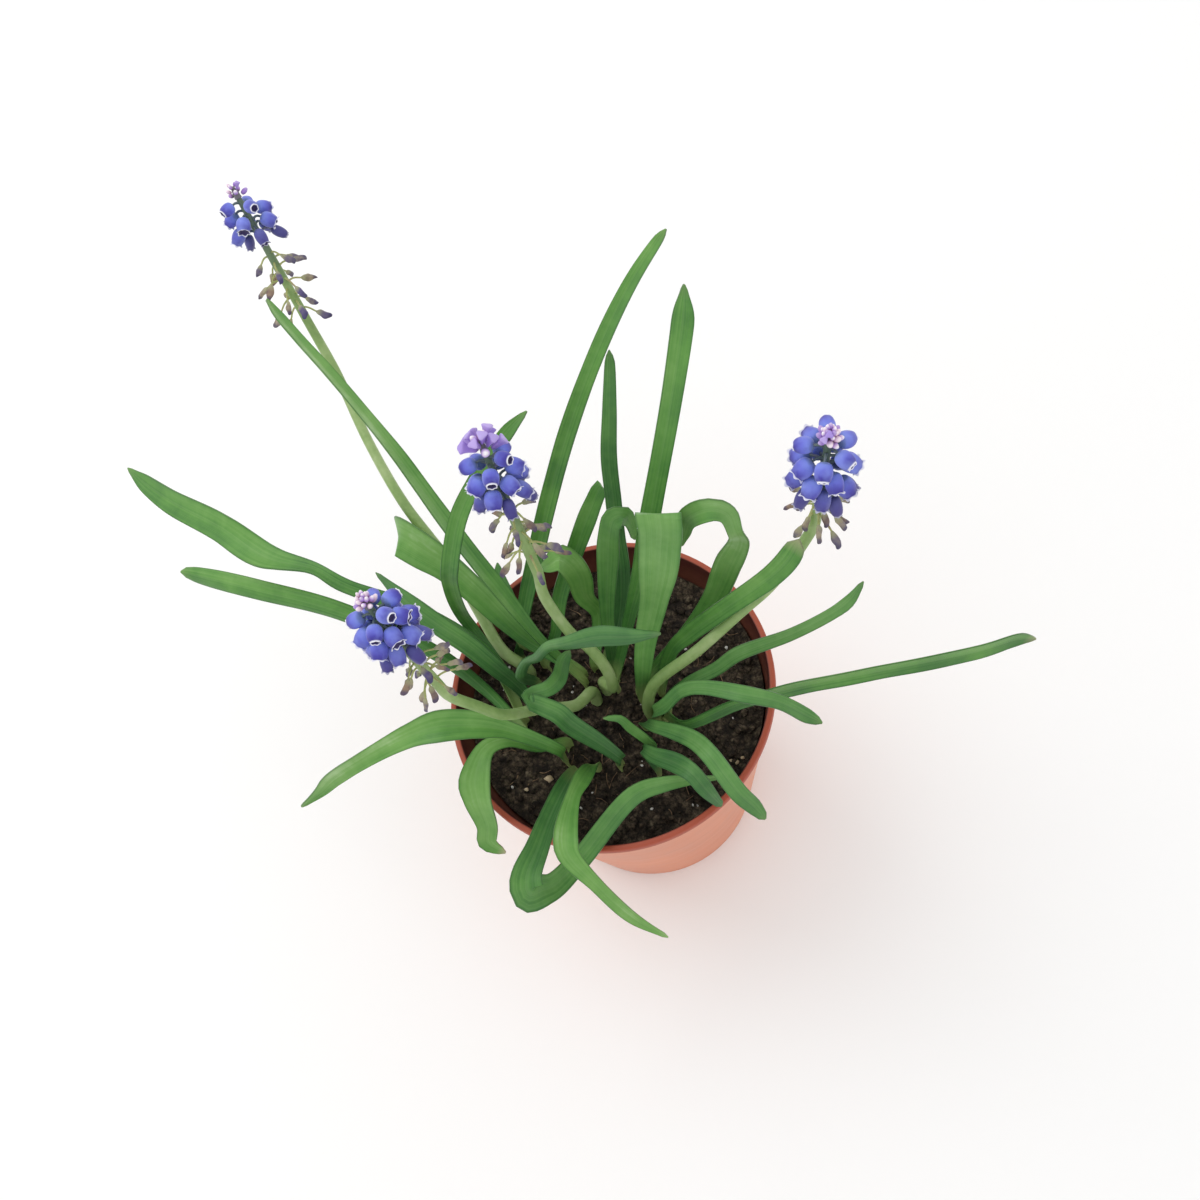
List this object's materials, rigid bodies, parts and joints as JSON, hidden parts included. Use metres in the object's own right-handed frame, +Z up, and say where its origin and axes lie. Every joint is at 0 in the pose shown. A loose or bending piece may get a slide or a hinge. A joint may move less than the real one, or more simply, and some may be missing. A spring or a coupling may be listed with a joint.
{
  "type": "potted grape hyacinth",
  "caption": "Round tapered nursery pot of soil with bulbs, arching strap leaves and upright stalks that end in heads of small bell-shaped florets.",
  "frame": {"origin": "centre of the pot's underside, on the surface it stands on and on the pot's axis", "axes": "+Z up along the pot's axis; the longest leaves lean towards -X and +X"},
  "size_m": [0.2506, 0.1925, 0.1875],
  "materials": {
    "pot": "semi-matt terracotta colour",
    "soil": "damp peat",
    "bulb": "dull papery skin",
    "leaf": "satin, finely veined",
    "stalk": "satin",
    "floret": "powdery bloom",
    "crown": "powdery bloom",
    "spent": "withered, dull"
  },
  "bodies": {
    "root": {"pot": "pot", "soil": "soil", "bulb_a": "bulb", "bulb_b": "bulb", "bulb_c": "bulb", "bulb_d": "bulb", "bulb_e": "bulb", "bulb_f": "bulb", "leaf_01": "leaf", "leaf_02": "leaf", "leaf_03": "leaf", "leaf_04": "leaf", "leaf_05": "leaf", "leaf_06": "leaf", "leaf_07": "leaf", "leaf_08": "leaf", "leaf_09": "leaf", "leaf_10": "leaf", "leaf_11": "leaf", "leaf_12": "leaf", "leaf_13": "leaf", "leaf_14": "leaf", "leaf_15": "leaf", "leaf_16": "leaf", "leaf_17": "leaf", "leaf_18": "leaf", "leaf_19": "leaf", "leaf_20": "leaf", "leaf_21": "leaf", "leaf_22": "leaf", "leaf_23": "leaf", "leaf_24": "leaf", "leaf_25": "leaf", "leaf_26": "leaf", "leaf_27": "leaf", "leaf_28": "leaf", "scape_1": "stalk", "spent_1": "spent", "raceme_1": "floret", "crown_1": "crown", "scape_2": "stalk", "spent_2": "spent", "raceme_2": "floret", "crown_2": "crown", "scape_3": "stalk", "spent_3": "spent", "raceme_3": "floret", "crown_3": "crown", "scape_4": "stalk", "spent_4": "spent", "raceme_4": "floret", "crown_4": "crown"}
  },
  "joints": []
}
